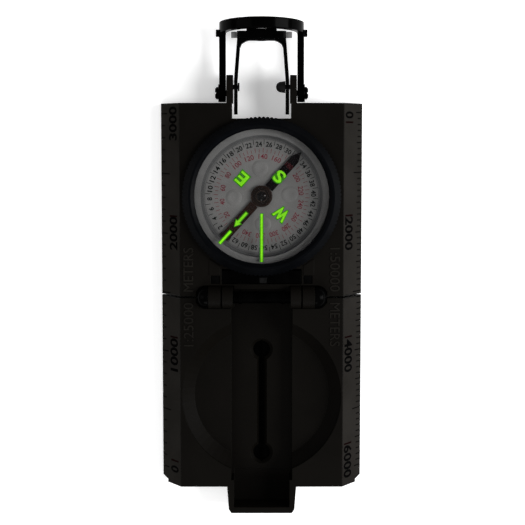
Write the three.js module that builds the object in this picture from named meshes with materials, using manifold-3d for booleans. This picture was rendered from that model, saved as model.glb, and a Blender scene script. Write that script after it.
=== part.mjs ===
// Sighting compass: a flat base with a turning bezel and a glazed capsule, a hinged
// cover with a sighting slot and wire, a folding lens bracket and a thumb loop.
// Millimetres. Origin: underside of the base, below the pivot of the dial. +Y points to the
// thumb loop, +Z up. Rest pose: cover laid open flat, bracket and loop stretched rearward.
import * as THREE from 'three';
import { mergeVertices } from 'three/addons/utils/BufferGeometryUtils.js';
import Module from 'manifold-3d';

const wasm = await Module();
wasm.setup();

// ---- driving dimensions ----
const HALF_WIDTH = 33.8;      // half of the casing's width
const RIM_Z = 12;             // thickness of each half
const FLAT_HALF = 27.1;       // flat top between the two ruler bevels
const EDGE_Z = 2.6;           // upright edge left under each ruler bevel
const BASE_END = 30.8;        // rear edge of the base
const AXIS_Y = -33.5;         // cover hinge axis
const AXIS_Z = RIM_Z + 0.3;   // half of the closed gap above the rim
const SEAM = 0.3;             // each half stops this far from the hinge axis
const COVER_LENGTH = 64.4;    // hinge axis to the cover's far edge
const TONGUE_LENGTH = 73.5;   // hinge axis to the tongue's far edge
const TONGUE_HALF = 11.7;     // at the tongue's root
const KNUCKLE_R = 3.7;
const PIN_R = 2;
const HINGE_CUT_HALF = 21.8;  // pill-shaped hinge cut-out
const HINGE_FLOOR = AXIS_Z - 4.2;
const NOTCH_HALF = 9.9;       // rear notch between the ears
const NOTCH_START = 25.7;
const EAR_IN = 9.5;
const EAR_OUT = 11.6;
const CAPSULE_R = 22.4;
const BEZEL_R = 26.3;
const BEZEL_TEETH = 120;
const BEZEL_Z = 12.3;         // underside of the bezel
const WINDOW_R = 22.3;
const CARD_R = 20.3;
const CARD_Z = 8.6;
const NORTH = THREE.MathUtils.degToRad(-132);  // direction of the card's north mark
const LENS_PIVOT = [36, 10.4];   // y, z
const LOOP_PIVOT = [34.2, 5];    // y, z
const LOOP_REACH = 19.6;      // loop pivot to the near face of the hoop, at the pivot's height
const HOOP_WIDTH = 3.5;
const HOOP_LEAN = 0.07;       // the hoop leans out this much per millimetre of height
const HOOP_OUT = 14.1;
const HOOP_IN = 11.8;
const RECESS_Y = 2 * AXIS_Y;  // the cover's round recess lands on the bezel when closed

const group = new THREE.Group();
group.name = 'sighting_compass';

// ---- solids ----
function toSolid(geometry) {
  geometry.deleteAttribute('normal');
  geometry.deleteAttribute('uv');
  const merged = mergeVertices(geometry, 1e-4);
  const points = merged.attributes.position.array;
  const index = merged.index.array;
  const kept = [];
  let volume = 0;
  for (let i = 0; i < index.length; i += 3) {
    const [a, b, c] = [index[i], index[i + 1], index[i + 2]];
    if (a === b || b === c || a === c) continue;
    kept.push(a, b, c);
    const [p, q, r] = [a, b, c].map((v) => new THREE.Vector3().fromArray(points, 3 * v));
    volume += p.dot(q.cross(r));
  }
  if (volume < 0) kept.reverse();
  return new wasm.Manifold(new wasm.Mesh({
    numProp: 3,
    vertProperties: new Float32Array(points),
    triVerts: new Uint32Array(kept),
  }));
}

function turned(profile, segments = 48) {
  const points = profile.map(([r, z]) => new THREE.Vector2(r, z));
  const geometry = new THREE.LatheGeometry(points, segments);
  geometry.rotateX(Math.PI / 2);
  return toSolid(geometry);
}

function turnedAlongX(profile, segments = 24) {
  const points = profile.map(([r, x]) => new THREE.Vector2(r, x));
  const geometry = new THREE.LatheGeometry(points, segments);
  geometry.rotateZ(-Math.PI / 2);
  return toSolid(geometry);
}

function turnedAlongY(profile, segments = 24) {
  const points = profile.map(([r, y]) => new THREE.Vector2(r, y));
  return toSolid(new THREE.LatheGeometry(points, segments));
}

// axis x: outline is [y, z]; axis y: outline is [x, z]; axis z: outline is [x, y]
// lean tips a prism along y: its y grows by lean for each millimetre above leanFrom
function prism(outline, low, high, axis, lean = 0, leanFrom = 0) {
  const shape = new THREE.Shape(outline.map(([u, v]) => new THREE.Vector2(u, v)));
  const geometry = new THREE.ExtrudeGeometry(shape, { depth: high - low, bevelEnabled: false });
  const position = geometry.attributes.position;
  for (let i = 0; i < position.count; i += 1) {
    const [u, v, w] = [position.getX(i), position.getY(i), position.getZ(i) + low];
    if (axis === 'x') position.setXYZ(i, w, u, v);
    if (axis === 'y') position.setXYZ(i, u, w + lean * (v - leanFrom), v);
    if (axis === 'z') position.setXYZ(i, u, v, w);
  }
  return toSolid(geometry);
}

function box(x0, x1, y0, y1, z0, z1) {
  return prism([[x0, y0], [x1, y0], [x1, y1], [x0, y1]], z0, z1, 'z');
}

function arc(cx, cy, r, from, to, steps) {
  const points = [];
  for (let i = 0; i <= steps; i += 1) {
    const angle = THREE.MathUtils.degToRad(from + ((to - from) * i) / steps);
    points.push([cx + r * Math.cos(angle), cy + r * Math.sin(angle)]);
  }
  return points;
}

function rounded(x0, x1, y0, y1, r, steps = 6) {
  return [
    ...arc(x1 - r, y0 + r, r, -90, 0, steps),
    ...arc(x1 - r, y1 - r, r, 0, 90, steps),
    ...arc(x0 + r, y1 - r, r, 90, 180, steps),
    ...arc(x0 + r, y0 + r, r, 180, 270, steps),
  ];
}

function disc(r, z0, z1, segments = 48) {
  return turned([[0, z0], [r, z0], [r, z1], [0, z1]], segments);
}

function ring(inner, outer, z0, z1, segments = 48) {
  return turned([[inner, z0], [outer, z0], [outer, z1], [inner, z1], [inner, z0]], segments);
}

function rodX(r, x0, x1, y, z, segments = 24) {
  return turnedAlongX([[0, x0], [r, x0], [r, x1], [0, x1]], segments).translate([0, y, z]);
}

function join(solids) {
  return solids.reduce((sum, solid) => sum.add(solid));
}

function cut(solid, tools) {
  return tools.reduce((left, tool) => left.subtract(tool), solid);
}

function piece(name, solid, color) {
  const mesh = solid.getMesh();
  const geometry = new THREE.BufferGeometry();
  geometry.setAttribute('position', new THREE.BufferAttribute(mesh.vertProperties.slice(), 3));
  geometry.setIndex(new THREE.BufferAttribute(mesh.triVerts.slice(), 1));
  geometry.computeVertexNormals();
  const made = new THREE.Mesh(geometry, new THREE.MeshStandardMaterial({ color }));
  made.name = name;
  group.add(made);
}

// ---- casing halves ----
const CASE_SECTION = [
  [-HALF_WIDTH, 0],
  [HALF_WIDTH, 0],
  [HALF_WIDTH, EDGE_Z],
  [FLAT_HALF, RIM_Z],
  [-FLAT_HALF, RIM_Z],
  [-HALF_WIDTH, EDGE_Z],
];

// direction is +1 on the base side of the hinge axis, -1 on the cover side
function hingeCut(direction) {
  const near = AXIS_Y;
  const far = AXIS_Y + direction * 3.9;
  const y0 = Math.min(near - direction * 6, far);
  const y1 = Math.max(near - direction * 6, far);
  return prism(rounded(-HINGE_CUT_HALF, HINGE_CUT_HALF, y0, y1, 3.2), HINGE_FLOOR, 20, 'z');
}

function knuckle(x0, x1, direction) {
  const y0 = AXIS_Y + direction * SEAM;
  const y1 = AXIS_Y + direction * 3.3;
  return join([
    rodX(KNUCKLE_R, x0, x1, AXIS_Y, AXIS_Z, 36),
    box(x0, x1, Math.min(y0, y1), Math.max(y0, y1), HINGE_FLOOR - 0.3, AXIS_Z),
  ]);
}

const pinBore = rodX(PIN_R + 0.08, -HINGE_CUT_HALF, HINGE_CUT_HALF, AXIS_Y, AXIS_Z, 36);
const SIDES = [['left', -1], ['right', 1]];

function bothSides(low, high, make) {
  return join([make(-high, -low), make(low, high)]);
}

const mirrored = (plan) => plan.map(([x, y]) => [-x, y]);
const railPlan = [[13.9, -26.15], [17.4, -26.15], [17.4, -20.7], [16.2, -21.4], [13.9, -23]];
const earOutline = [[30, 1.2], [38.2, 1.2], [40, 3.2], [40, 10.2], [38.4, 12], [30, 12]];

let baseCase = prism(CASE_SECTION, AXIS_Y + SEAM, BASE_END, 'y');
baseCase = join([
  baseCase,
  bothSides(EAR_IN, EAR_OUT, (x0, x1) => prism(earOutline, x0, x1, 'x')),
  ring(CAPSULE_R + 0.55, 24.1, RIM_Z - 0.5, 13.3),
]);
baseCase = cut(baseCase, [
  disc(CAPSULE_R + 0.3, 2.8, 20),
  disc(19.3, -1, 1.2, 48),
  box(-NOTCH_HALF, NOTCH_HALF, NOTCH_START, BASE_END, -1, 20),
  hingeCut(1),
  box(-13.3, 13.3, -29.2, -24, 8.9, RIM_Z + 0.01),
  ring(23.75, 24.3, 12.62, 13.08),
]);
baseCase = join([
  baseCase,
  box(-9.2, 9.2, -30.9, -29.6, HINGE_FLOOR - 0.3, 11.6),
  ...[railPlan, mirrored(railPlan)].map((plan) => prism(plan, RIM_Z - 0.3, RIM_Z + 0.2, 'z')),
  bothSides(13.6, 17.7, (x0, x1) => knuckle(x0, x1, 1)),
]);
const plateScrewAngles = [90, 210, 330];
const plateScrewSpots = plateScrewAngles.map((degrees) => {
  const angle = THREE.MathUtils.degToRad(degrees);
  return [15.5 * Math.cos(angle), 15.5 * Math.sin(angle)];
});
baseCase = cut(baseCase, [
  pinBore,
  bothSides(13.9, 16.9, (x0, x1) => box(x0, x1, -29, -26.3, 10, 20)),
  rodX(1.05, -20, 20, ...LOOP_PIVOT),
  rodX(0.86, -20, 20, ...LENS_PIVOT),
  ...plateScrewSpots.map(([x, y]) => disc(0.95, 1, 2.5, 16).translate([x, y, 0])),
]);
piece('base_case', baseCase, 0x2b2924);

const plate = cut(disc(19.1, 0, 1.1, 48), plateScrewSpots.map(([x, y]) => (
  disc(2, -1, 3, 24).translate([x, y, 0])
)));
piece('base_plate', plate, 0x24221f);
plateScrewSpots.forEach(([x, y], i) => {
  const screw = turned([[0, 0.1], [1.9, 0.1], [1.9, 1.1], [0.9, 1.1], [0.9, 2.3], [0, 2.3]], 24);
  const slot = box(-1.4, 1.4, -0.25, 0.25, -1, 0.5);
  piece(`plate_screw_${i + 1}`, screw.subtract(slot).translate([x, y, 0]), 0x777777);
});

const CHANNEL_HALF = 10.3;
const CHANNEL_Z = 2.5;
const SLOT_ENDS = [AXIS_Y - 19, AXIS_Y - 54.8];
const WIRE_Z = 1.45;
const WINDOW_ENDS = [SLOT_ENDS[1] - 4.8, SLOT_ENDS[0] + 4.8];
const coverFar = AXIS_Y - COVER_LENGTH;
const tongueFar = AXIS_Y - TONGUE_LENGTH;
const tongueSide = [
  [TONGUE_HALF, coverFar + 1],
  [TONGUE_HALF - 0.6, tongueFar + 1.3],
  [TONGUE_HALF - 1.5, tongueFar],
];
const cornerPlan = [[32, coverFar - 1], [32, coverFar + 1], [36, coverFar + 3.4], [36, coverFar - 1]];
const tonguePlan = [...tongueSide, ...mirrored(tongueSide).reverse()];
let cover = join([
  prism(CASE_SECTION, coverFar, AXIS_Y - SEAM, 'y'),
  prism(tonguePlan, 0, RIM_Z, 'z'),
]);
const recess = turned([[0, 7], [22.7, 7], [26.7, 11], [26.7, 20], [0, 20]], 64);
const slotY = [SLOT_ENDS[1], SLOT_ENDS[0]];
const slotFlare = [[-1, 1], [1, 1], [1.8, CHANNEL_Z + 0.1], [-1.8, CHANNEL_Z + 0.1]];
const hole = turned([[0, -1], [2.85, -1], [2.85, 1.4], [3.95, 2.6], [0, 2.6]], 32);
const rod = (r, y0, y1) => turnedAlongY([[0, y0], [r, y0], [r, y1], [0, y1]], 12);
cover = cut(cover, [
  recess.translate([0, RECESS_Y, 0]),
  box(-CHANNEL_HALF, CHANNEL_HALF, coverFar + 2.3, AXIS_Y - 3.8, CHANNEL_Z, 20),
  box(-9.2, 9.2, AXIS_Y - 4, AXIS_Y, CHANNEL_Z, 20),
  box(-9.4, 9.4, tongueFar + 2, coverFar + 3, CHANNEL_Z, 20),
  box(-9.4, 9.4, tongueFar + 2, AXIS_Y - 60.4, 2.1, 20),
  hingeCut(-1),
  box(-1, 1, ...slotY, -1, 4),
  prism(slotFlare, ...slotY, 'y'),
  ...SLOT_ENDS.map((y) => hole.translate([0, y, 0])),
  prism(rounded(-4.7, 4.7, ...WINDOW_ENDS, 4.6), -1, 0.95, 'z'),
  rod(0.32, SLOT_ENDS[1] - 4.3, SLOT_ENDS[0] + 4.3).translate([0, 0, WIRE_Z]),
  prism(cornerPlan, -1, 20, 'z'),
  prism(mirrored(cornerPlan), -1, 20, 'z'),
]);
cover = cover.add(bothSides(9.6, 13.1, (x0, x1) => knuckle(x0, x1, -1))).subtract(pinBore);
piece('cover', cover, 0x2b2924);

const windowPlan = rounded(-4.6, 4.6, WINDOW_ENDS[0] + 0.1, WINDOW_ENDS[1] - 0.1, 4.5);
piece('sight_window', prism(windowPlan, 0, 0.85, 'z'), 0x101010);
const wire = rod(0.25, SLOT_ENDS[1] - 4.1, SLOT_ENDS[0] + 4.1);
piece('sight_wire', wire.translate([0, 0, WIRE_Z]), 0x202020);

// ---- hinge hardware ----
const pin = turnedAlongX([
  [0, -19.4], [PIN_R, -19.4], [PIN_R, -7.6], [2.3, -7.6], [2.3, -6.6], [PIN_R, -6.6],
  [PIN_R, 6.6], [2.3, 6.6], [2.3, 7.6], [PIN_R, 7.6], [PIN_R, 19.4], [0, 19.4],
], 36);
piece('hinge_pin', pin.translate([0, AXIS_Y, AXIS_Z]), 0x151515);
SIDES.forEach(([side, sign]) => {
  const dome = turnedAlongX([
    [0, 19.5], [2.08, 19.5], [2.08, 17.8], [3.75, 17.8], [3.75, 18.7], [3.5, 19.8],
    [2.9, 20.7], [2, 21.3], [0.9, 21.6], [0, 21.65],
  ], 24);
  const placed = (sign > 0 ? dome : dome.mirror([1, 0, 0])).translate([0, AXIS_Y, AXIS_Z]);
  piece(`hinge_cap_${side}`, placed, 0x101010);
});

// ---- index block in front of the bezel ----
const insertTop = 11.95;
const insertPlan = (grow) => [
  [0.5 - 1.3 - grow, -27 + grow],
  [0.5 - 1.1 - grow, -28.8 - grow],
  [0.5 + 1.1 + grow, -28.8 - grow],
  [0.5 + 1.3 + grow, -27 + grow],
];
const block = cut(box(-13.15, 13.15, -29.05, -24.7, 8.95, 11.9), [
  prism(insertPlan(0.05), 10.9, 20, 'z'),
]);
piece('index_block', block, 0x0b0b0b);
piece('index_insert', prism(insertPlan(0), 10.95, insertTop, 'z'), 0xb8b8b0);
SIDES.forEach(([side, sign]) => {
  const [x0, x1] = sign > 0 ? [13.95, 16.85] : [-16.85, -13.95];
  piece(`side_pad_${side}`, box(x0, x1, -28.95, -26.35, 10.05, 11.8), 0x3a3a3a);
});

// ---- capsule ----
piece('capsule_bowl', turned([
  [0, 2.9], [CAPSULE_R, 2.9], [CAPSULE_R, 11.5], [20.7, 11.5], [20.7, 4.2], [0, 4.2],
]), 0x8a8a86);
piece('capsule_gasket', ring(20.25, 22.3, 11.55, 11.85), 0xd8d8d0);
piece('capsule_crystal', disc(22.3, 11.9, 12.7), 0xdde6ea);
piece('pivot_post', turned([
  [0, 4.25], [2.5, 4.25], [2.5, 5], [0.9, 5.8], [0.9, 7.9], [0.12, 9.6], [0, 9.65],
], 24), 0xb89a50);

// ---- dial: turns on the pivot ----
piece('compass_card', ring(1.5, CARD_R, CARD_Z, CARD_Z + 0.4), 0x9a9a98);
const magnetZ = [CARD_Z + 0.45, CARD_Z + 1.15];
const aimed = (solid) => solid.rotate([0, 0, THREE.MathUtils.radToDeg(NORTH)]);
piece('magnet_north', aimed(box(3.7, 18.8, -1.55, 1.55, ...magnetZ)), 0x4a2a18);
const southPlan = [[-3.7, 1.55], [-16.6, 1.55], [-19.7, 0], [-16.6, -1.55], [-3.7, -1.55]];
piece('magnet_south', aimed(prism(southPlan, ...magnetZ, 'z')), 0x141210);
piece('card_hub', turned([
  [0, 9.75], [0.8, 9.05], [3.6, 9.05], [3.6, 9.9], [2.6, 10.25], [1.6, 10.25],
  [1.6, 10.05], [0, 10.05],
], 36), 0x5a3a22);
piece('hub_jewel', turned([
  [0, 10.1], [1.5, 10.1], [1.5, 10.4], [0.8, 10.75], [0, 10.85],
], 24), 0x8a6a50);

// ---- bezel: turns on the base's collar, held by a snap ring ----
const bezelOutside = [
  [0, BEZEL_Z], [BEZEL_R, BEZEL_Z], [BEZEL_R, 13.5], [24.1, 15.5], [0, 15.5],
];
const bezelInside = [
  [0, 10], [24.3, 10], [24.3, 12.62], [24.75, 12.62], [24.75, 13.08], [24.3, 13.08],
  [24.3, 13.45], [23.1, 13.45], [23.1, 14.3], [WINDOW_R, 14.3], [WINDOW_R, 14.6],
  [23.4, 15.51], [0, 15.51],
];
const toothOutline = [];
for (let k = 0; k < BEZEL_TEETH; k += 1) {
  const corners = [[0.05, 25.85], [0.3, BEZEL_R], [0.75, BEZEL_R], [1, 25.85]];
  corners.forEach(([part, r]) => {
    const angle = ((k + part) * 2 * Math.PI) / BEZEL_TEETH;
    toothOutline.push([r * Math.cos(angle), r * Math.sin(angle)]);
  });
}
const teeth = prism(toothOutline, 10, 20, 'z');
const bezelBlank = turned(bezelOutside, BEZEL_TEETH).intersect(teeth);
piece('bezel_ring', bezelBlank.subtract(turned(bezelInside)), 0x10131c);
piece('bezel_crystal', disc(23.05, 13.5, 14.25), 0xdde6ea);
piece('snap_ring', ring(23.85, 24.6, 12.7, 13), 0x999999);

// ---- lens bracket ----
const [lensY, lensZ] = LENS_PIVOT;
const armPlan = [[9.1, 27], [9.1, 38], [8.05, 51.7], [6.85, 51.7], [7.9, 38], [7.9, 27]];
const gussetPlan = [[7.2, 51.3], [7.2, 48.4], [6.5, 50], [5.2, 50.8], [3.6, 51.3]];
const arms = join([
  prism(armPlan, lensZ - 1.2, lensZ + 1.2, 'z'),
  prism(mirrored(armPlan), lensZ - 1.2, lensZ + 1.2, 'z'),
  bothSides(7.9, 9.1, (x0, x1) => rodX(1.6, x0, x1, ...LENS_PIVOT)),
  box(-8, 8, 51.1, 51.7, lensZ - 1.9, lensZ + 1.9),
  prism(gussetPlan, lensZ - 1.2, lensZ + 1.2, 'z'),
  prism(mirrored(gussetPlan), lensZ - 1.2, lensZ + 1.2, 'z'),
]);
const sightHole = turnedAlongY([[0, 50], [1.6, 50], [1.6, 56], [0, 56]], 32);
const bracket = cut(arms, [rodX(0.86, -12, 12, ...LENS_PIVOT), sightHole.translate([0, 0, lensZ])]);
piece('lens_bracket', bracket, 0x0c0c0c);
const housingSection = rounded(-8.1, 8.1, lensZ - 2.2, lensZ + 2.2, 1.2, 4);
const lensBore = turnedAlongY([[0, 50], [1.95, 50], [1.95, 56], [0, 56]], 32);
const housing = join([
  prism(housingSection, 51.75, 54.2, 'y'),
  prism(rounded(-5, 5, lensZ - 2.2, lensZ + 2.2, 1.2, 4), 54.1, 54.95, 'y'),
]).subtract(lensBore.translate([0, 0, lensZ]));
piece('lens_housing', housing, 0x0c0c0c);
SIDES.forEach(([side, sign]) => {
  const [x0, x1] = sign > 0 ? [8.15, 10] : [-10, -8.15];
  piece(`housing_wing_${side}`, box(x0, x1, 52, 54, lensZ - 0.8, lensZ + 0.6), 0x9a9a98);
});
const lens = turnedAlongY([
  [0, 52], [1, 52.08], [1.9, 52.3], [1.9, 52.9], [1, 53.12], [0, 53.2],
], 32);
piece('magnifier_lens', lens.translate([0, 0, lensZ]), 0xe4eef2);
const lensRing = turnedAlongY([[1.45, 53.3], [1.9, 53.3], [1.9, 54.1], [1.45, 54.1], [1.45, 53.3]]);
piece('lens_ring', lensRing.translate([0, 0, lensZ]), 0x333333);
// the left pin has a flat inner head, the right one a domed lug to push the bracket by
const pinHeads = {
  left: [[0, 7.3], [1.4, 7.3], [1.4, 7.8]],
  right: [[0, 4.7], [1.1, 5], [1.7, 5.9], [2, 7.8]],
};
SIDES.forEach(([side, sign]) => {
  const pivot = turnedAlongX([...pinHeads[side], [0.8, 7.8], [0.8, 11.4], [0, 11.4]], 24);
  const placed = (sign > 0 ? pivot : pivot.mirror([1, 0, 0])).translate([0, lensY, lensZ]);
  piece(`lens_pin_${side}`, placed, 0x3c3c3c);
});

// ---- thumb loop ----
const [loopY, loopZ] = LOOP_PIVOT;
const hoopNear = loopY + LOOP_REACH;
const hoopOutline = [
  ...arc(0, loopZ, HOOP_OUT, 0, 180, 24),
  [-HOOP_OUT, loopZ - 1.5],
  [-HOOP_IN, loopZ - 1.5],
  ...arc(0, loopZ, HOOP_IN, 180, 0, 24),
  [HOOP_IN, loopZ - 1.5],
  [HOOP_OUT, loopZ - 1.5],
];
const loop = join([
  prism(hoopOutline, hoopNear, hoopNear + HOOP_WIDTH, 'y', HOOP_LEAN, loopZ),
  bothSides(11.9, HOOP_OUT, (x0, x1) => box(x0, x1, loopY, hoopNear + 1, loopZ - 1.5, loopZ + 1.5)),
  bothSides(11.9, 14.4, (x0, x1) => rodX(3, x0, x1, loopY, loopZ)),
  bothSides(13.5, 15.2, (x0, x1) => box(x0, x1, hoopNear - 1, hoopNear + 1.3, loopZ - 1.5, loopZ + 1)),
]).subtract(rodX(1.1, -20, 20, loopY, loopZ));
piece('thumb_loop', loop, 0x0a0a0a);
SIDES.forEach(([side, sign]) => {
  const screw = turnedAlongX([
    [0, 9.7], [1, 9.7], [1, 14.5], [2.1, 14.5], [2.1, 15], [1.5, 15.5], [0, 15.6],
  ]).subtract(box(15.2, 16, -0.3, 0.3, -3, 3));
  const placed = (sign > 0 ? screw : screw.mirror([1, 0, 0])).translate([0, loopY, loopZ]);
  piece(`loop_screw_${side}`, placed, 0x1a1a1a);
});

export default group;
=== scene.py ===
"""Sighting compass: looks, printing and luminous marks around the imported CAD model."""
import math

import bmesh
import bpy
from mathutils import Matrix, Vector


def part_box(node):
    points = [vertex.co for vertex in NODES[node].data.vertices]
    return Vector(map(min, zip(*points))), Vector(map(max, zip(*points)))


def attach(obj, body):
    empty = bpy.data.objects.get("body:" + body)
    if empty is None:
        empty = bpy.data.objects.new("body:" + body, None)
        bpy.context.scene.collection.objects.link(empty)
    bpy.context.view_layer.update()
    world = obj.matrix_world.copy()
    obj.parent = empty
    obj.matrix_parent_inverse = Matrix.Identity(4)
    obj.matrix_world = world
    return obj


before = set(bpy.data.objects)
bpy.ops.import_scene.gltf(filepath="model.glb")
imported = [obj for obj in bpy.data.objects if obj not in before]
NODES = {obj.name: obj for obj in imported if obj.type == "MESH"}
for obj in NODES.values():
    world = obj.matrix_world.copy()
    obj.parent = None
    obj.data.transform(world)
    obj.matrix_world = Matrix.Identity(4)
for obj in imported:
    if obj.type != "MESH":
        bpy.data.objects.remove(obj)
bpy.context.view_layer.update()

MM = 0.001

# places taken from the frame, in millimetres
RIM_Z = 12.0
EDGE_Z = 2.6
HALF_WIDTH = 33.8
FLAT_HALF = 27.1
AXIS_Y = -33.5
NORTH = -132.0
CARD_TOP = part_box("compass_card")[1].z / MM
MAGNET_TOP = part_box("magnet_north")[1].z / MM
CAPSULE_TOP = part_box("capsule_crystal")[1].z / MM
BEZEL_GLASS_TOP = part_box("bezel_crystal")[1].z / MM
BASE_END = 30.8
COVER_END = AXIS_Y - 64.4


# ---------------------------------------------------------------- materials
def new_material(name):
    material = bpy.data.materials.new(name)
    material.use_nodes = True
    tree = material.node_tree
    shader = tree.nodes["Principled BSDF"]
    return material, tree, shader


def add_noise(tree, scale, detail=4.0, roughness=0.55):
    coords = tree.nodes.new("ShaderNodeTexCoord")
    noise = tree.nodes.new("ShaderNodeTexNoise")
    noise.inputs["Scale"].default_value = scale
    noise.inputs["Detail"].default_value = detail
    noise.inputs["Roughness"].default_value = roughness
    tree.links.new(coords.outputs["Object"], noise.inputs["Vector"])
    return noise


def spread(tree, source, low, high, from_low=0.3, from_high=0.7):
    node = tree.nodes.new("ShaderNodeMapRange")
    node.inputs["From Min"].default_value = from_low
    node.inputs["From Max"].default_value = from_high
    node.inputs["To Min"].default_value = low
    node.inputs["To Max"].default_value = high
    tree.links.new(source, node.inputs["Value"])
    return node.outputs["Result"]


def two_tone(tree, source, dark, light, low=0.35, high=0.65):
    ramp = tree.nodes.new("ShaderNodeValToRGB")
    ramp.color_ramp.elements[0].position = low
    ramp.color_ramp.elements[1].position = high
    ramp.color_ramp.elements[0].color = (*dark, 1)
    ramp.color_ramp.elements[1].color = (*light, 1)
    tree.links.new(source, ramp.inputs["Fac"])
    return ramp.outputs["Color"]


def add_bump(tree, shader, heights, edge=0.0):
    """heights: (socket, strength, distance in mm), stacked; edge: radius in mm worn onto corners."""
    previous = None
    if edge:
        rounded = tree.nodes.new("ShaderNodeBevel")
        rounded.samples = 6
        rounded.inputs["Radius"].default_value = edge * MM
        previous = rounded.outputs["Normal"]
    for socket, strength, distance in heights:
        bump = tree.nodes.new("ShaderNodeBump")
        bump.inputs["Strength"].default_value = strength
        bump.inputs["Distance"].default_value = distance * MM
        tree.links.new(socket, bump.inputs["Height"])
        if previous is not None:
            tree.links.new(previous, bump.inputs["Normal"])
        previous = bump.outputs["Normal"]
    tree.links.new(previous, shader.inputs["Normal"])


def surface(name, dark, light, rough, *, metal=0.0, specular=0.5, grain=2600.0, grain_depth=0.02,
            patch=90.0, strength=0.35, edge=0.0):
    """A finish with a cloudy colour, a fine grain and uneven gloss."""
    material, tree, shader = new_material(name)
    cloud = add_noise(tree, patch, 5.0)
    fine = add_noise(tree, grain, 3.0)
    tree.links.new(two_tone(tree, cloud.outputs["Fac"], dark, light), shader.inputs["Base Color"])
    tree.links.new(spread(tree, fine.outputs["Fac"], *rough), shader.inputs["Roughness"])
    shader.inputs["Metallic"].default_value = metal
    shader.inputs["Specular IOR Level"].default_value = specular
    add_bump(tree, shader, [
        (cloud.outputs["Fac"], strength * 0.3, 0.05),
        (fine.outputs["Fac"], strength, grain_depth),
    ], edge)
    return material


def grey(value, warm=0.0):
    return (value * (1 + warm), value, value * (1 - 2 * warm))


CASING = surface("casing_paint", (0.0014, 0.0011, 0.0007), (0.0021, 0.0017, 0.0012), (0.5, 0.66),
                 specular=0.035, grain=3200.0, grain_depth=0.03, patch=60.0, strength=0.5, edge=0.22)
NAME_PAINT = surface("raised_name_paint", (0.0042, 0.0036, 0.0027), (0.0060, 0.0052, 0.0040),
                     (0.4, 0.55), specular=0.06, grain=3200.0, grain_depth=0.03, patch=60.0, edge=0.08)
STRIP = surface("ruler_strip_paint", (0.0098, 0.0090, 0.0080), (0.0130, 0.0120, 0.0108), (0.45, 0.6),
                specular=0.0, grain=2600.0, grain_depth=0.02, patch=70.0)
UNDERPLATE = surface("underplate_paint", grey(0.0035, 0.06), grey(0.0055, 0.06), (0.45, 0.6),
                     specular=0.1, grain=2200.0)
BEZEL = surface("bezel_anodised", (0.0007, 0.0009, 0.0012), (0.0012, 0.0014, 0.0019), (0.34, 0.46),
                specular=0.022, grain=2800.0, patch=150.0, edge=0.1)
BLACK = surface("black_enamel", grey(0.0003), grey(0.0006), (0.16, 0.26), specular=0.010,
                grain=900.0, grain_depth=0.01, patch=200.0, strength=0.25, edge=0.35)
LOOP = surface("loop_enamel", grey(0.0003), grey(0.0006), (0.12, 0.18), specular=0.009,
               grain=900.0, grain_depth=0.006, patch=200.0, strength=0.15, edge=0.7)
HINGE = surface("hinge_black", grey(0.0002), grey(0.0005), (0.4, 0.5), specular=0.003,
                grain=1500.0, patch=200.0, strength=0.3)
BLOCK = surface("index_block_black", grey(0.0002), grey(0.0005), (0.14, 0.24), specular=0.012,
                grain=700.0, grain_depth=0.008, patch=200.0, strength=0.2)
PAD = surface("pad_rubber", grey(0.0006), grey(0.0011), (0.6, 0.75), specular=0.012, grain=2400.0)
# opaque and near-black: painted shade for the shaded floor seen through the sight window and slot
SLOT_SHADE = surface("smoked_window", grey(0.0002), grey(0.0004), (0.2, 0.3), specular=0.01,
                 grain=900.0, patch=300.0, strength=0.1)
WING = surface("wing_grey_satin", grey(0.08), grey(0.13), (0.3, 0.42), specular=0.4, grain=1600.0)
STEEL = surface("worn_steel", grey(0.10), grey(0.17), (0.3, 0.45), metal=1.0, grain=1800.0)
DARK_STEEL = surface("dark_steel", grey(0.0025), grey(0.0045), (0.35, 0.5), specular=0.06,
                     grain=1800.0)
WIRE = surface("wire_dark", grey(0.0002), grey(0.0004), (0.5, 0.6), specular=0.001, grain=1800.0)
BRASS = surface("post_brass", (0.30, 0.20, 0.07), (0.42, 0.29, 0.11), (0.25, 0.4), metal=1.0)
CAPSULE = surface("capsule_plastic", grey(0.10), grey(0.13), (0.4, 0.55), grain=1600.0)
CAPSULE_RIM = surface("capsule_rim_grey", grey(0.092, 0.01), grey(0.116, 0.01), (0.45, 0.6),
                      grain=1500.0, specular=0.2)
CARD = surface("card_satin", grey(0.098, 0.015), grey(0.122, 0.015), (0.38, 0.52), specular=0.3,
               grain=1400.0, grain_depth=0.01, patch=120.0)
PRINT = surface("print_black", grey(0.004), grey(0.008), (0.5, 0.65), specular=0.05, grain=2600.0)
RULER_PRINT = surface("ruler_print_black", grey(0.0008), grey(0.0016), (0.5, 0.65), specular=0.0,
                      grain=2600.0)
BAR_PRINT = surface("ruler_bar_print", (0.0026, 0.0008, 0.0008), (0.0042, 0.0013, 0.0013),
                    (0.5, 0.65), specular=0.0, grain=2600.0)
RED = surface("print_red", (0.088, 0.009, 0.016), (0.112, 0.015, 0.024), (0.5, 0.65),
              specular=0.1, grain=2600.0)
DARK_RED = surface("print_dark_red", (0.040, 0.002, 0.004), (0.060, 0.004, 0.006), (0.5, 0.65),
                   specular=0.1, grain=2600.0)
RING_GREY = surface("print_grey", grey(0.060), grey(0.076), (0.5, 0.65), specular=0.1, grain=2600.0)
MAGNET_BROWN = surface("magnet_brown", (0.0100, 0.0040, 0.0024), (0.0150, 0.0064, 0.0038),
                       (0.3, 0.42), specular=0.03, grain=1500.0, strength=0.2, edge=0.12)
MAGNET_BLACK = surface("magnet_black", (0.0008, 0.0002, 0.0002), (0.0018, 0.0004, 0.0004),
                       (0.3, 0.42), specular=0.01, grain=1500.0, strength=0.2, edge=0.12)
JEWEL = surface("jewel_amber", (0.0012, 0.0006, 0.0004), (0.0030, 0.0015, 0.0010), (0.08, 0.12),
                specular=0.10, grain=900.0, patch=700.0, strength=0.2)
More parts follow.
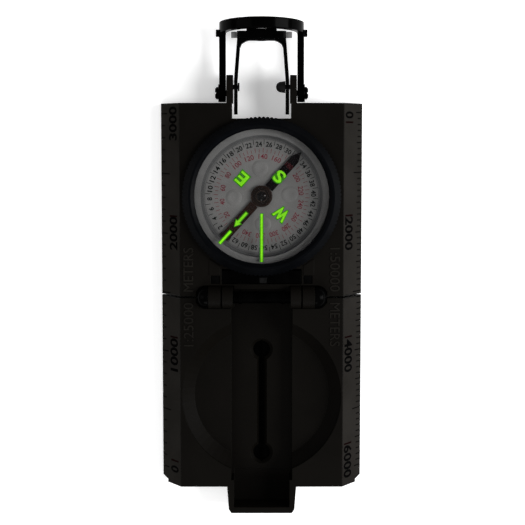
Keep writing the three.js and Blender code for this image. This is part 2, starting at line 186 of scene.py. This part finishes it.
# pale brown of a painted highlight, for the lit face of a turned step in the hub
PAINTED_STEP_HIGHLIGHT = surface("hub_painted_step_highlight", (0.018, 0.011, 0.007), (0.028, 0.018, 0.012), (0.3, 0.4),
                   specular=0.08, grain=1500.0, patch=900.0)
INDEX_MARK = surface("index_mark_grey", grey(0.0020), grey(0.0050), (0.5, 0.6), specular=0.02,
                     grain=1500.0, patch=700.0)


def hub_material():
    """Turned metal: fine concentric rings about the pivot, the grooves darkened with painted shade."""
    material, tree, shader = new_material("hub_turned")
    coords = tree.nodes.new("ShaderNodeTexCoord")
    wave = tree.nodes.new("ShaderNodeTexWave")
    wave.wave_type = "RINGS"
    wave.rings_direction = "Z"
    wave.inputs["Scale"].default_value = 330.0
    wave.inputs["Distortion"].default_value = 0.4
    wave.inputs["Detail"].default_value = 2.0
    tree.links.new(coords.outputs["Object"], wave.inputs["Vector"])
    # painted shade: the grooves are coloured darker than the lands
    groove_painted_shade = (0.0042, 0.0016, 0.0008)
    land = (0.0120, 0.0056, 0.0030)
    color = two_tone(tree, wave.outputs["Fac"], groove_painted_shade, land, 0.1, 0.9)
    tree.links.new(color, shader.inputs["Base Color"])
    tree.links.new(spread(tree, wave.outputs["Fac"], 0.25, 0.45), shader.inputs["Roughness"])
    shader.inputs["Metallic"].default_value = 0.1
    shader.inputs["Specular IOR Level"].default_value = 0.05
    add_bump(tree, shader, [(wave.outputs["Fac"], 0.5, 0.05)])
    return material


def glass_material(name, alpha, tint):
    """Clear glazing: lets the light through and keeps a thin reflection, with faint smudges."""
    material, tree, shader = new_material(name)
    cloud = add_noise(tree, 140.0, 5.0)
    shader.inputs["Base Color"].default_value = (*tint, 1)
    tree.links.new(spread(tree, cloud.outputs["Fac"], 0.03, 0.09), shader.inputs["Roughness"])
    shader.inputs["Alpha"].default_value = alpha
    shader.inputs["Specular IOR Level"].default_value = 0.25
    return material


def luminous_material(name, dark, light, glow):
    material, tree, shader = new_material(name)
    cloud = add_noise(tree, 1500.0, 4.0)
    color = two_tone(tree, cloud.outputs["Fac"], dark, light)
    tree.links.new(color, shader.inputs["Base Color"])
    tree.links.new(color, shader.inputs["Emission Color"])
    shader.inputs["Emission Strength"].default_value = glow
    shader.inputs["Specular IOR Level"].default_value = 0.04
    tree.links.new(spread(tree, cloud.outputs["Fac"], 0.45, 0.6), shader.inputs["Roughness"])
    add_bump(tree, shader, [(cloud.outputs["Fac"], 0.3, 0.02)])
    return material


HUB = hub_material()
GLASS = glass_material("crystal_glass", 0.035, (0.02, 0.022, 0.024))
LENS_GLASS = glass_material("lens_glass", 0.25, (0.10, 0.11, 0.12))
LUMINOUS = luminous_material("luminous_green", (0.102, 0.380, 0.004), (0.138, 0.460, 0.009), 0.55)
LUMINOUS_EDGE = luminous_material("luminous_edge", (0.018, 0.120, 0.002), (0.028, 0.160, 0.004), 0.25)


# ---------------------------------------------------------------- CAD nodes
def dress(node, material, bevel=0.0, sharp=32.0):
    """Gives a CAD node its material, and by modifiers its rounded edges and smooth shading.

    bevel: width in mm; sharp: edges over this angle stay hard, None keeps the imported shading.
    """
    obj = NODES[node]
    obj.data.materials.clear()
    obj.data.materials.append(material)
    if sharp is None:
        return obj
    if "custom_normal" in obj.data.attributes:
        obj.data.attributes.remove(obj.data.attributes["custom_normal"])
    obj.data.polygons.foreach_set("use_smooth", [True] * len(obj.data.polygons))
    weld = obj.modifiers.new("weld", "WELD")
    weld.merge_threshold = 0.002 * MM
    if bevel:
        rounding = obj.modifiers.new("rounding", "BEVEL")
        rounding.width = bevel * MM
        rounding.segments = 2
        rounding.limit_method = "ANGLE"
        rounding.angle_limit = math.radians(38)
        rounding.use_clamp_overlap = False
        rounding.miter_outer = "MITER_SHARP"
    split = obj.modifiers.new("split", "EDGE_SPLIT")
    split.split_angle = math.radians(sharp)
    return obj


dress("base_case", CASING, sharp=None)
dress("cover", CASING, sharp=None)
# the sight window carries painted shade, near-black and opaque
dress("sight_window", SLOT_SHADE)
dress("base_plate", UNDERPLATE, bevel=0.1)
for number in (1, 2, 3):
    dress(f"plate_screw_{number}", STEEL, bevel=0.06)
dress("hinge_pin", HINGE)
for side in ("left", "right"):
    dress(f"hinge_cap_{side}", BLACK, sharp=50)
    dress(f"side_pad_{side}", PAD, bevel=0.2)
    dress(f"lens_pin_{side}", DARK_STEEL, sharp=50)
    dress(f"loop_screw_{side}", BLACK, bevel=0.1)
    dress(f"housing_wing_{side}", WING, bevel=0.15)
dress("index_block", BLOCK, bevel=0.25)
dress("index_insert", INDEX_MARK, bevel=0.06)
dress("capsule_bowl", CAPSULE)
dress("capsule_gasket", CAPSULE_RIM)
dress("capsule_crystal", GLASS)
dress("pivot_post", BRASS)
dress("compass_card", CARD)
dress("magnet_north", MAGNET_BROWN)
dress("magnet_south", MAGNET_BLACK)
dress("card_hub", HUB)
dress("hub_jewel", JEWEL, sharp=60)
dress("bezel_ring", BEZEL)
dress("bezel_crystal", GLASS)
dress("snap_ring", STEEL)
dress("lens_bracket", BLACK)
dress("lens_housing", BLACK)
dress("magnifier_lens", LENS_GLASS, sharp=50)
dress("lens_ring", BLACK)
dress("thumb_loop", LOOP, sharp=60)
dress("sight_wire", WIRE)


# ---------------------------------------------------------------- making pieces
def add_piece(name, mesh, material, body):
    mesh.materials.clear()
    mesh.materials.append(material)
    obj = bpy.data.objects.new(name, mesh)
    bpy.context.scene.collection.objects.link(obj)
    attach(obj, body)
    return obj


def frame_at(origin, right, up):
    """A matrix whose X runs along right and Y along up, with its origin in millimetres."""
    right = Vector(right).normalized()
    up = Vector(up).normalized()
    matrix = Matrix.Identity(4)
    for row in range(3):
        matrix[row][0] = right[row]
        matrix[row][1] = up[row]
        matrix[row][2] = right.cross(up)[row]
        matrix[row][3] = origin[row]
    return matrix


def glyph_mesh(text, thick, bold=0.0):
    """A text as a mesh, one unit high, standing on z = 0 and centred on the origin."""
    curve = bpy.data.curves.new("glyph", "FONT")
    curve.body = text
    curve.size = 1.0
    curve.resolution_u = 3
    curve.offset = bold
    curve.extrude = 0.5
    curve.align_x = "CENTER"
    maker = bpy.data.objects.new("glyph", curve)
    bpy.context.scene.collection.objects.link(maker)
    bpy.context.view_layer.update()
    mesh = bpy.data.meshes.new_from_object(maker.evaluated_get(bpy.context.evaluated_depsgraph_get()))
    bpy.data.objects.remove(maker)
    bpy.data.curves.remove(curve)
    points = [v.co for v in mesh.vertices]
    low = Vector([min(p[i] for p in points) for i in range(3)])
    high = Vector([max(p[i] for p in points) for i in range(3)])
    center = (low + high) / 2
    size = high - low
    for vertex in mesh.vertices:
        x, y, z = vertex.co - center
        vertex.co = (x / size.x, y / size.y, (z + 0.5) * thick)
    return mesh, size.x / size.y


class Stack:
    """Gathers many small raised shapes into one mesh."""

    def __init__(self):
        self.work = bmesh.new()

    def add_mesh(self, mesh, matrix):
        before = len(self.work.verts)
        self.work.from_mesh(mesh)
        self.work.verts.ensure_lookup_table()
        for vertex in self.work.verts[before:]:
            vertex.co = (matrix @ vertex.co) * MM
        bpy.data.meshes.remove(mesh)

    def text(self, text, matrix, height, width=None, thick=0.03, bold=0.0):
        mesh, ratio = glyph_mesh(text, 1.0, bold)
        width = height * ratio if width is None else width
        scale = Matrix.Diagonal((width, height, thick, 1))
        self.add_mesh(mesh, matrix @ scale)

    def slab(self, outline, matrix, thick=0.03):
        """A flat shape with straight sides: outline in millimetres, anticlockwise."""
        low = [self.work.verts.new((matrix @ Vector((x, y, 0))) * MM) for x, y in outline]
        high = [self.work.verts.new((matrix @ Vector((x, y, thick))) * MM) for x, y in outline]
        count = len(outline)
        self.work.faces.new(list(reversed(low)))
        self.work.faces.new(high)
        for i in range(count):
            j = (i + 1) % count
            self.work.faces.new((low[i], low[j], high[j], high[i]))

    def bar(self, x0, x1, y0, y1, matrix, thick=0.03):
        self.slab([(x0, y0), (x1, y0), (x1, y1), (x0, y1)], matrix, thick)

    def ring(self, inner, outer, z, thick=0.03, steps=120):
        rings = []
        for radius, height in ((inner, z), (outer, z), (outer, z + thick), (inner, z + thick)):
            angles = [2 * math.pi * i / steps for i in range(steps)]
            rings.append([
                self.work.verts.new(Vector((radius * math.cos(a), radius * math.sin(a), height)) * MM)
                for a in angles
            ])
        for k in range(4):
            near, far = rings[k], rings[(k + 1) % 4]
            for i in range(steps):
                j = (i + 1) % steps
                self.work.faces.new((near[i], near[j], far[j], far[i]))

    def finish(self, name, material, body):
        bmesh.ops.recalc_face_normals(self.work, faces=self.work.faces)
        mesh = bpy.data.meshes.new(name)
        self.work.to_mesh(mesh)
        self.work.free()
        return add_piece(name, mesh, material, body)


def radial(angle, radius, z):
    """A frame on the dial whose up runs outward at the given angle in degrees."""
    turn = math.radians(angle)
    out = (math.cos(turn), math.sin(turn), 0)
    right = (math.sin(turn), -math.cos(turn), 0)
    return frame_at((radius * out[0], radius * out[1], z), right, out)


def bearing(degrees):
    return NORTH - degrees


# ---------------------------------------------------------------- dial printing
PRINT_Z = CARD_TOP + 0.004
ON_MAGNET_Z = MAGNET_TOP + 0.02
MIL_MARKS = 64            # each stands for a hundred mils
MIL_TICK_R = 17.2
MIL_NUMBER_R = 17.3
FINE_TICKS = 320
FINE_TICK_R = 18.85       # inside of the ring of fine ticks
DEGREE_MARKS = 72         # each stands for five degrees
DEGREE_TICK_R = 14.5
DEGREE_NUMBER_R = 13.2
NUMBER_HEIGHT = 1.7
black = Stack()
red = Stack()
fine_ring = Stack()
for hundred in range(MIL_MARKS):
    angle = bearing(hundred * 360 / MIL_MARKS)
    if hundred % 2:
        black.bar(-0.09, 0.09, 0, 1.65, radial(angle, MIL_TICK_R, PRINT_Z))
    else:
        label = str(hundred)
        matrix = radial(angle, MIL_NUMBER_R, PRINT_Z)
        black.text(label, matrix, NUMBER_HEIGHT, 1.06 * len(label), bold=0.025)
for step in range(FINE_TICKS):
    angle = bearing(step * 360 / FINE_TICKS)
    reach = 1.35 if step % 5 == 0 else 1.0
    fine_ring.bar(-0.1, 0.1, 0, reach, radial(angle, FINE_TICK_R, PRINT_Z + 0.03))
for step in range(DEGREE_MARKS):
    degrees = step * 360 // DEGREE_MARKS
    angle = bearing(degrees)
    reach = 1.5 if step % 2 == 0 else 1.1
    red.bar(-0.08, 0.08, 0, reach, radial(angle, DEGREE_TICK_R, PRINT_Z))
    # the magnets lie over 0 and 180
    if degrees % 20 == 0 and degrees not in (0, 180):
        label = str(degrees)
        matrix = radial(angle, DEGREE_NUMBER_R, PRINT_Z)
        red.text(label, matrix, NUMBER_HEIGHT, len(label), bold=0.015)
fine_ring.ring(FINE_TICK_R, FINE_TICK_R + 0.1, PRINT_Z)
fine_ring.ring(FINE_TICK_R + 0.5, FINE_TICK_R + 1.45, PRINT_Z)
black.finish("dial_print_mils", PRINT, "card")
red.finish("dial_print_degrees", RED, "card")
fine_ring.finish("dial_print_ring", RING_GREY, "card")
magnet_red = Stack()
magnet_red.text("180", radial(bearing(180), 13.6, ON_MAGNET_Z), 1.65, 2.6)
magnet_red.finish("dial_print_180", DARK_RED, "card")
magnet_black = Stack()
magnet_black.text("N", radial(NORTH, 5.4, ON_MAGNET_Z), 1.3, 1.2)
magnet_black.bar(-0.8, 0.8, 0, 0.18, radial(NORTH, 4.4, ON_MAGNET_Z))
magnet_black.bar(-0.5, 0.5, 0, 1.2, radial(NORTH, 16.9, ON_MAGNET_Z))
magnet_black.finish("magnet_print", RULER_PRINT, "card")

# painted light round the jewel: flat dark rings of painted shade and a flat pale ring of painted
# highlight stand for turned steps in the hub
HUB_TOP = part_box("card_hub")[1].z / MM
JEWEL_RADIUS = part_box("hub_jewel")[1].x / MM
painted_shade_rings = Stack()
painted_shade_rings.ring(JEWEL_RADIUS + 0.02, JEWEL_RADIUS + 0.2, HUB_TOP + 0.005, 0.03)
painted_shade_rings.ring(JEWEL_RADIUS + 0.5, JEWEL_RADIUS + 0.95, HUB_TOP + 0.005, 0.03)
painted_shade_rings.finish("hub_painted_shade_rings", RULER_PRINT, "card")
painted_highlight_ring = Stack()
painted_highlight_ring.ring(JEWEL_RADIUS + 0.25, JEWEL_RADIUS + 0.5, HUB_TOP + 0.005, 0.05)
painted_highlight_ring.finish("hub_painted_highlight_ring", PAINTED_STEP_HIGHLIGHT, "card")


DIMPLE_R = 9.3            # pivot to the middle of a dimple


def add_dimples():
    """Four shallow round dimples with raised rims, pressed into the card between the letters."""
    work = bmesh.new()
    center_height = 0.02
    # from the middle out: radius and height in millimetres
    profile = [(0.7, 0.04), (1.2, 0.11), (1.7, 0.17), (2.1, 0.12), (2.5, 0.03), (2.8, -0.03)]
    steps = 40
    for degrees in (45, 135, 225, 315):
        turn = math.radians(bearing(degrees))
        center = Vector((DIMPLE_R * math.cos(turn), DIMPLE_R * math.sin(turn), PRINT_Z))
        rings = []
        for radius, height in profile:
            ring = []
            for i in range(steps):
                a = 2 * math.pi * i / steps
                ring.append(work.verts.new(
                    (center + Vector((radius * math.cos(a), radius * math.sin(a), height))) * MM))
            rings.append(ring)
        top = work.verts.new((center + Vector((0, 0, center_height))) * MM)
        for i in range(steps):
            j = (i + 1) % steps
            work.faces.new((top, rings[0][i], rings[0][j]))
            for near, far in zip(rings, rings[1:]):
                work.faces.new((near[i], far[i], far[j], near[j]))
        work.faces.new(list(reversed(rings[-1])))
    bmesh.ops.recalc_face_normals(work, faces=work.faces)
    mesh = bpy.data.meshes.new("card_dimples")
    work.to_mesh(mesh)
    work.free()
    mesh.polygons.foreach_set("use_smooth", [True] * len(mesh.polygons))
    add_piece("card_dimples", mesh, CARD, "card")


add_dimples()

# ---------------------------------------------------------------- luminous dial marks
up = radial(NORTH, 0, 0).to_3x3().col[1]
across = radial(NORTH, 0, 0).to_3x3().col[0]
LETTER_R = 8.8            # pivot to the middle of a letter
LETTER_HEIGHT = 4.2
OUTLINE_HEIGHT = 4.95
letters = Stack()
outlines = Stack()
for letter, degrees, height in (("E", 90, PRINT_Z), ("S", 180, ON_MAGNET_Z), ("W", 270, PRINT_Z)):
    turn = math.radians(bearing(degrees))
    spot = (LETTER_R * math.cos(turn), LETTER_R * math.sin(turn))
    width = 4.5 if letter == "W" else 3.2
    bold = 0.05 if letter == "W" else 0.025
    matrix = frame_at((*spot, height + 0.06), across, up)
    letters.text(letter, matrix, LETTER_HEIGHT, width, 0.08, bold)
    matrix = frame_at((*spot, height), across, up)
    outlines.text(letter, matrix, OUTLINE_HEIGHT, width + 0.75, 0.06, bold + 0.07)


def arrow_outline(shaft, head, grow):
    """The arrow on the north magnet; shaft and head are half widths, grow lengthens both ends."""
    tail, neck, tip = 7.4 - grow, 11.5 - grow, 13.5 + grow * 1.4
    right = [(shaft, tail), (shaft, neck), (head, neck)]
    return right + [(0, tip)] + [(-x, y) for x, y in reversed(right)]


letters.slab(arrow_outline(0.38, 1.0, 0), radial(NORTH, 0, ON_MAGNET_Z + 0.06), 0.08)
outlines.slab(arrow_outline(0.68, 1.5, 0.25), radial(NORTH, 0, ON_MAGNET_Z), 0.06)
letters.finish("luminous_letters", LUMINOUS, "card")
outlines.finish("luminous_outline", LUMINOUS_EDGE, "card")

for name, body, height, angle, near, far in (
        ("index_line", "base", CAPSULE_TOP, -90, 5.6, 21.7),
        ("bezel_line", "bezel", BEZEL_GLASS_TOP, NORTH, 15.1, 20.8)):
    line = Stack()
    line.bar(-0.33, 0.33, near + 0.1, far - 0.1, radial(angle, 0, height + 0.07), 0.06)
    line.finish(f"luminous_{name}", LUMINOUS, body)
    line = Stack()
    line.bar(-0.62, 0.62, near - 0.05, far, radial(angle, 0, height + 0.01), 0.06)
    line.finish(f"luminous_{name}_edge", LUMINOUS_EDGE, body)

# ---------------------------------------------------------------- rulers on the bevels
SLOPE = math.hypot(HALF_WIDTH - FLAT_HALF, RIM_Z - EDGE_Z)
PLAN_TO_SLOPE = SLOPE / (HALF_WIDTH - FLAT_HALF)
STRIP_LIFT = 0.03
PAINT_GAP = 0.004         # keeps paint and casing apart
TICK_HALF = 0.17
LABEL_HEIGHT = 4.9


def slope_frame(sign, y, lift):
    """On the right (+1) or left (-1) bevel: X along the label, Y down the slope, from its foot."""
    down = Vector((sign * (HALF_WIDTH - FLAT_HALF), 0, EDGE_Z - RIM_Z)) / SLOPE
    right = Vector((0, -sign, 0))
    normal = right.cross(down)
    origin = Vector((sign * HALF_WIDTH, y, EDGE_Z)) + normal * lift
    return frame_at(origin, right, down)


def strip(sign, y0, y1, name, body, corner=0.0):
    """A painted strip from y0 to y1; corner: how far the lower corner at y0 is cut back."""
    low, high = 0.3 - SLOPE, -0.3
    corner_foot = -SLOPE * 0.29
    shape = [(y1, low), (y0, low)]
    if corner:
        shape += [(y0, corner_foot), (y0 + corner / 3, corner_foot)]
    shape += [(y0 + corner, high), (y1, high)]
    outline = [(-sign * y, v) for y, v in shape]
    if sign > 0:
        outline.reverse()
    stack = Stack()
    stack.slab(outline, slope_frame(sign, 0, PAINT_GAP), STRIP_LIFT)
    return stack.finish(name, STRIP, body)


# places along each ruler are in millimetres from the hinge axis; label_x: how far out the labels are
RULERS = {
    -1: {"zero": -59.1, "step": 4.0, "count": 31, "medium": 0, "label_x": 29.4,
         "labels": {57.6: "3000", 21.1: "2000", -19.9: "1000", -59.1: "0"},
         "bars": (26.8, -13.9, -56.2), "long": (40.9, 0.9, -39.1)},
    1: {"zero": -58.7, "step": 2.0, "count": 61, "medium": 5, "label_x": 29.1,
        "labels": {60.4: "0", 21.1: "2000", -20.1: "4000", -56.3: "6000"},
        "bars": (58.0, 27.1, -13.7, -50.1), "long": (41.3, 1.3, -38.7)},
}
for sign, side in ((-1, "left"), (1, "right")):
    rule = RULERS[sign]
    strip(sign, AXIS_Y + 0.7, BASE_END - 0.4, f"ruler_strip_base_{side}", "base")
    strip(sign, COVER_END + 0.4, AXIS_Y - 0.7, f"ruler_strip_cover_{side}", "cover", 2.4)
    label_up = (HALF_WIDTH - rule["label_x"]) * PLAN_TO_SLOPE
    for body, low, high in (("base", 0.6, 64.0), ("cover", -62.4, -0.6)):
        marks = Stack()
        bars = Stack()
        lift = PAINT_GAP + STRIP_LIFT + 0.002
        for index in range(rule["count"]):
            place = rule["zero"] + index * rule["step"]
            if not max(low, -60.6) < place < high:
                continue
            reach = 1.5 if sign < 0 else 1.7
            if rule["medium"] and index % rule["medium"] == 0:
                reach = 2.0
            if index % (20 / rule["step"]) == 0:
                reach = 2.3
            if min(abs(place - spot) for spot in rule["long"]) < 0.1:
                reach = 3.1
            matrix = slope_frame(sign, AXIS_Y + place, lift)
            marks.bar(-TICK_HALF, TICK_HALF, -reach * PLAN_TO_SLOPE, -0.4, matrix)
        for place, label in rule["labels"].items():
            if low < place < high:
                matrix = slope_frame(sign, AXIS_Y + place, lift)
                matrix = matrix @ Matrix.Translation((0, -label_up, 0))
                marks.text(label, matrix, LABEL_HEIGHT, 2.95 * len(label) - 0.6, 0.03, 0.025)
        for place in rule["bars"]:
            if low < place < high:
                matrix = slope_frame(sign, AXIS_Y + place, lift)
                bars.bar(-0.28, 0.28, -label_up - 2.3, -label_up + 2.3, matrix)
        marks.finish(f"ruler_marks_{body}_{side}", RULER_PRINT, body)
        bars.finish(f"ruler_bars_{body}_{side}", BAR_PRINT, body)

# ---------------------------------------------------------------- raised scale names
NAME_X = 24.4
NAME_Y = 9.2              # hinge axis to the middle of a word
for sign, scale_name in ((-1, "1:25000"), (1, "1:50000")):
    side = "left" if sign < 0 else "right"
    for body in ("base", "cover"):
        on_base = body == "base"
        # the two words read toward the thumb loop on the left and away from it on the right
        word = "METERS" if on_base == (sign < 0) else scale_name
        raised = Stack()
        y = AXIS_Y + (NAME_Y if on_base else -NAME_Y)
        matrix = frame_at((sign * NAME_X, y, RIM_Z - 0.05), (0, -sign, 0), (sign, 0, 0))
        raised.text(word, matrix, 3.3, 14.6, 0.27)
        raised.finish(f"scale_name_{body}_{side}", NAME_PAINT, body)

# ---------------------------------------------------------------- stage, light, camera
floor = bpy.data.meshes.new("floor")
floor.from_pydata([(-3, -3, 0), (3, -3, 0), (3, 3, 0), (-3, 3, 0)], [], [(0, 1, 2, 3)])
floor_material, _, floor_shader = new_material("floor_white")
floor_shader.inputs["Base Color"].default_value = (0.95, 0.95, 0.95, 1)
floor_shader.inputs["Roughness"].default_value = 0.9
floor_shader.inputs["Specular IOR Level"].default_value = 0.0
floor_shader.inputs["Emission Color"].default_value = (1, 1, 1, 1)
floor_shader.inputs["Emission Strength"].default_value = 0.3
floor.materials.append(floor_material)
floor_obj = bpy.data.objects.new("floor", floor)
floor_obj.location.z = -0.0002
bpy.context.scene.collection.objects.link(floor_obj)

world = bpy.data.worlds.new("studio")
world.use_nodes = True
world.node_tree.nodes["Background"].inputs["Color"].default_value = (1, 1, 1, 1)
world.node_tree.nodes["Background"].inputs["Strength"].default_value = 0.32
bpy.context.scene.world = world


def area_light(name, place, target, size, watts):
    data = bpy.data.lights.new(name, "AREA")
    data.shape = "RECTANGLE"
    data.size, data.size_y = size
    data.energy = watts
    light = bpy.data.objects.new(name, data)
    light.location = place
    light.rotation_euler = (Vector(target) - Vector(place)).to_track_quat("-Z", "Y").to_euler()
    bpy.context.scene.collection.objects.link(light)


area_light("key_right", (0.60, 0.00, 0.40), (0, -0.02, 0), (0.34, 0.5), 8.0)
area_light("fill_front", (-0.10, -0.75, 0.55), (0, -0.03, 0), (0.5, 0.3), 4.0)
area_light("fill_left", (-0.60, 0.05, 0.50), (0, -0.02, 0), (0.4, 0.6), 1.6)

TARGET = Vector((0.0003, -0.0219, 0.012))
DISTANCE = 0.44
TILT = math.radians(5.2)
camera_data = bpy.data.cameras.new("camera")
camera_data.lens = 90.8
camera_data.sensor_width = 36
camera_data.clip_start = 0.01
camera = bpy.data.objects.new("camera", camera_data)
camera.location = TARGET + Vector((0, math.sin(TILT), math.cos(TILT))) * DISTANCE
camera.rotation_euler = (-TILT, 0, 0)
bpy.context.scene.collection.objects.link(camera)
bpy.context.scene.camera = camera
bpy.context.scene.view_settings.view_transform = "Standard"
